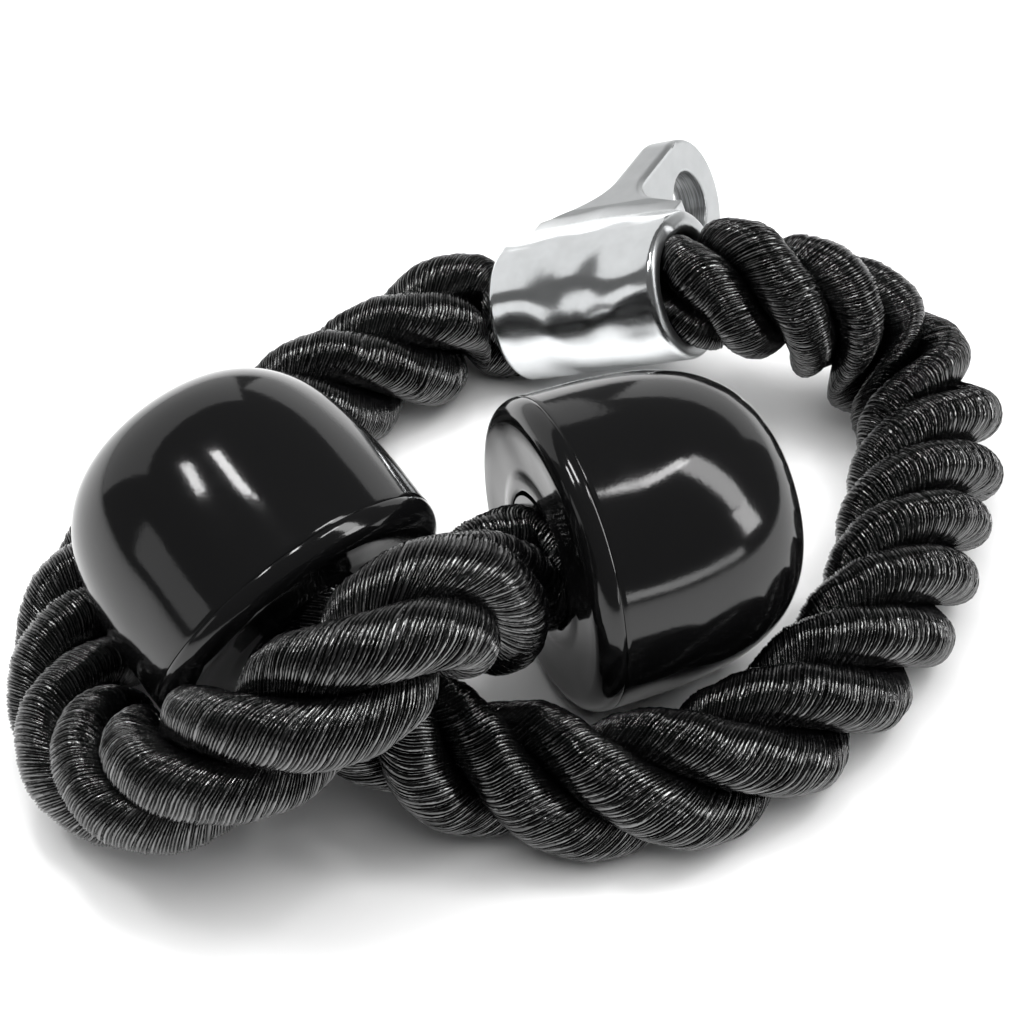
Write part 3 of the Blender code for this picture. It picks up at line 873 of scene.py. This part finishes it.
def soft_light(name, start, end, width, power, glossy=True):
    """A rectangular softbox along the line from start to end, facing the object."""
    start, end = Vector(start), Vector(end)
    middle = (start + end) / 2
    along = (end - start).normalized()
    away = middle - CAMERA_TARGET
    away = (away - along * away.dot(along)).normalized()
    data = bpy.data.lights.new(name, "AREA")
    data.shape = "RECTANGLE"
    data.size, data.size_y = width, (end - start).length
    data.energy = power
    item = bpy.data.objects.new(name, data)
    turn = Matrix((along.cross(away), along, away)).transposed()
    item.matrix_world = Matrix.Translation(middle) @ turn.to_4x4()
    item.visible_glossy = glossy
    bpy.context.scene.collection.objects.link(item)


def toward(azimuth, elevation, distance):
    """The point this far from the middle of the object in a direction given in degrees."""
    a, e = math.radians(azimuth), math.radians(elevation)
    reach = np.array((math.cos(a) * math.cos(e), math.sin(a) * math.cos(e), math.sin(e)))
    return tuple(np.array((0.0, 0.0, 0.04)) + reach * distance)


# The softboxes that are seen in the gloss: name, two ends, width and power
SOFTBOXES = (
    ("strip_outer", (-0.624, -0.123, 1.05), (-0.451, -0.357, 1.05), 0.12, 2.0),
    ("strip_inner", (-0.342, 0.136, 1.05), (-0.069, -0.113, 1.05), 0.11, 2.5),
    ("right_arm", toward(5, 67, 1.2), toward(35, 59, 1.2), 0.09, 1.3),
    ("right_band", toward(33, 59, 1.2), toward(9, 27, 1.2), 0.24, 3.8),
    ("right_box", toward(7, 27, 1.2), toward(5, 10, 1.2), 0.26, 2.4),
    ("right_low", toward(-6, 5, 1.2), toward(-34, 4, 1.2), 0.10, 0.7),
    ("back_left_wall", toward(112, 17, 2.0), toward(188, 17, 2.0), 1.3, 7.0),
    ("front_left_wall", toward(-147, 14, 2.0), toward(-125, 14, 2.0), 0.62, 1.2),
    ("back_wall", toward(60, 10, 2.0), toward(108, 10, 2.0), 0.8, 3.4),
)
OVERHEAD_HEIGHT = 1.6
OVERHEAD_WIDTH = 2.2
FLOOR_HALF_SIZE = 3.0
FLOOR_DROP = 0.0002


class TRR_OT_stage(bpy.types.Operator):
    """Set the table top, the lights and the camera"""

    bl_idname = "triceps_rope.stage"
    bl_label = "Stage"

    def execute(self, context):
        settings = context.scene.triceps_rope.stage
        self.camera(context)
        self.floor(context, settings)
        self.lights(context, settings)
        context.scene.view_settings.view_transform = "Standard"
        return {"FINISHED"}

    def camera(self, context):
        """The photo's view."""
        data = bpy.data.cameras.new("camera")
        data.sensor_width = SENSOR_WIDTH
        data.lens = LENS
        data.clip_start = 0.01
        item = bpy.data.objects.new("camera", data)
        right = Vector((math.cos(CAMERA_TURN), math.sin(CAMERA_TURN), 0.0))
        ahead = Vector((-math.sin(CAMERA_TURN), math.cos(CAMERA_TURN), 0.0))
        look = ahead * math.cos(CAMERA_RISE) - Vector((0.0, 0.0, math.sin(CAMERA_RISE)))
        up = right.cross(look)
        turn = Matrix((right, up, -look)).transposed()
        item.matrix_world = Matrix.Translation(CAMERA_TARGET - look * CAMERA_DISTANCE) @ turn.to_4x4()
        context.scene.collection.objects.link(item)
        context.scene.camera = item

    def floor(self, context, settings):
        """A large white table top, just under the object."""
        shape = bmesh.new()
        bmesh.ops.create_grid(shape, x_segments=8, y_segments=8, size=FLOOR_HALF_SIZE)
        mesh = bpy.data.meshes.new("table_top")
        shape.to_mesh(mesh)
        shape.free()
        n = Nodes("matte white table top")
        place = n.object_place()
        grain = n.noise(place, 400.0, 3.0)
        shader = n.node(
            "ShaderNodeBsdfPrincipled",
            {
                "Base Color": (settings.floor, settings.floor, settings.floor, 1.0), "Roughness": 0.9,
                "Specular IOR Level": 0.1, "Normal": n.bump(grain, 0.0001, 0.2),
            },
        )
        mesh.materials.append(n.finish(shader.outputs[0]))
        item = bpy.data.objects.new("table_top", mesh)
        item.location = (0.0, 0.0, -FLOOR_DROP)
        context.scene.collection.objects.link(item)

    def lights(self, context, settings):
        """Even sky light, an overhead softbox that the gloss doesn't show, and those that it does."""
        world = bpy.data.worlds.new("studio")
        context.scene.world = world
        world.use_nodes = True
        background = world.node_tree.nodes["Background"]
        background.inputs["Color"].default_value = (1.0, 1.0, 1.0, 1.0)
        background.inputs["Strength"].default_value = settings.sky
        reach = OVERHEAD_WIDTH / 2
        ends = (0.0, -reach, OVERHEAD_HEIGHT), (0.0, reach, OVERHEAD_HEIGHT)
        soft_light("overhead", *ends, OVERHEAD_WIDTH, settings.key, glossy=False)
        for softbox in SOFTBOXES:
            soft_light(*softbox)


class TRR_PT_panel(bpy.types.Panel):
    """Lists what the attachment is built from."""

    bl_idname = "TRR_PT_panel"
    bl_label = "Triceps Rope"
    bl_space_type = "VIEW_3D"
    bl_region_type = "UI"
    bl_category = "Triceps Rope"

    def draw(self, context):
        settings = context.scene.triceps_rope
        for group, names in PANEL_ROWS.items():
            box = self.layout.box()
            for name in names:
                box.prop(getattr(settings, group), name)
        for operator in OPERATORS:
            self.layout.operator(operator.bl_idname)


PANEL_ROWS = {
    "rope": ("diameter", "lay_length", "strands", "phase", "colour", "roughness"),
    "stopper": ("colour", "roughness"),
    "collar": ("colour", "voxel"),
    "stage": ("floor", "sky", "key"),
}
OPERATORS = (TRR_OT_stage, TRR_OT_rope, TRR_OT_collar, TRR_OT_stoppers, TRR_OT_fittings)
CLASSES = (
    RopeSettings, StopperSettings, CollarSettings, StageSettings, TricepsRopeSettings, *OPERATORS, TRR_PT_panel,
)


def register():
    """Adds the settings, operators and panel."""
    for item in CLASSES:
        bpy.utils.register_class(item)
    bpy.types.Scene.triceps_rope = PointerProperty(type=TricepsRopeSettings)


def unregister():
    """Removes them again."""
    del bpy.types.Scene.triceps_rope
    for item in reversed(CLASSES):
        bpy.utils.unregister_class(item)


def main():
    """Builds every piece."""
    register()
    for operator in OPERATORS:
        name = operator.bl_idname.split(".")[1]
        getattr(bpy.ops.triceps_rope, name)()
    bpy.context.view_layer.update()


if __name__ == "__main__":
    main()
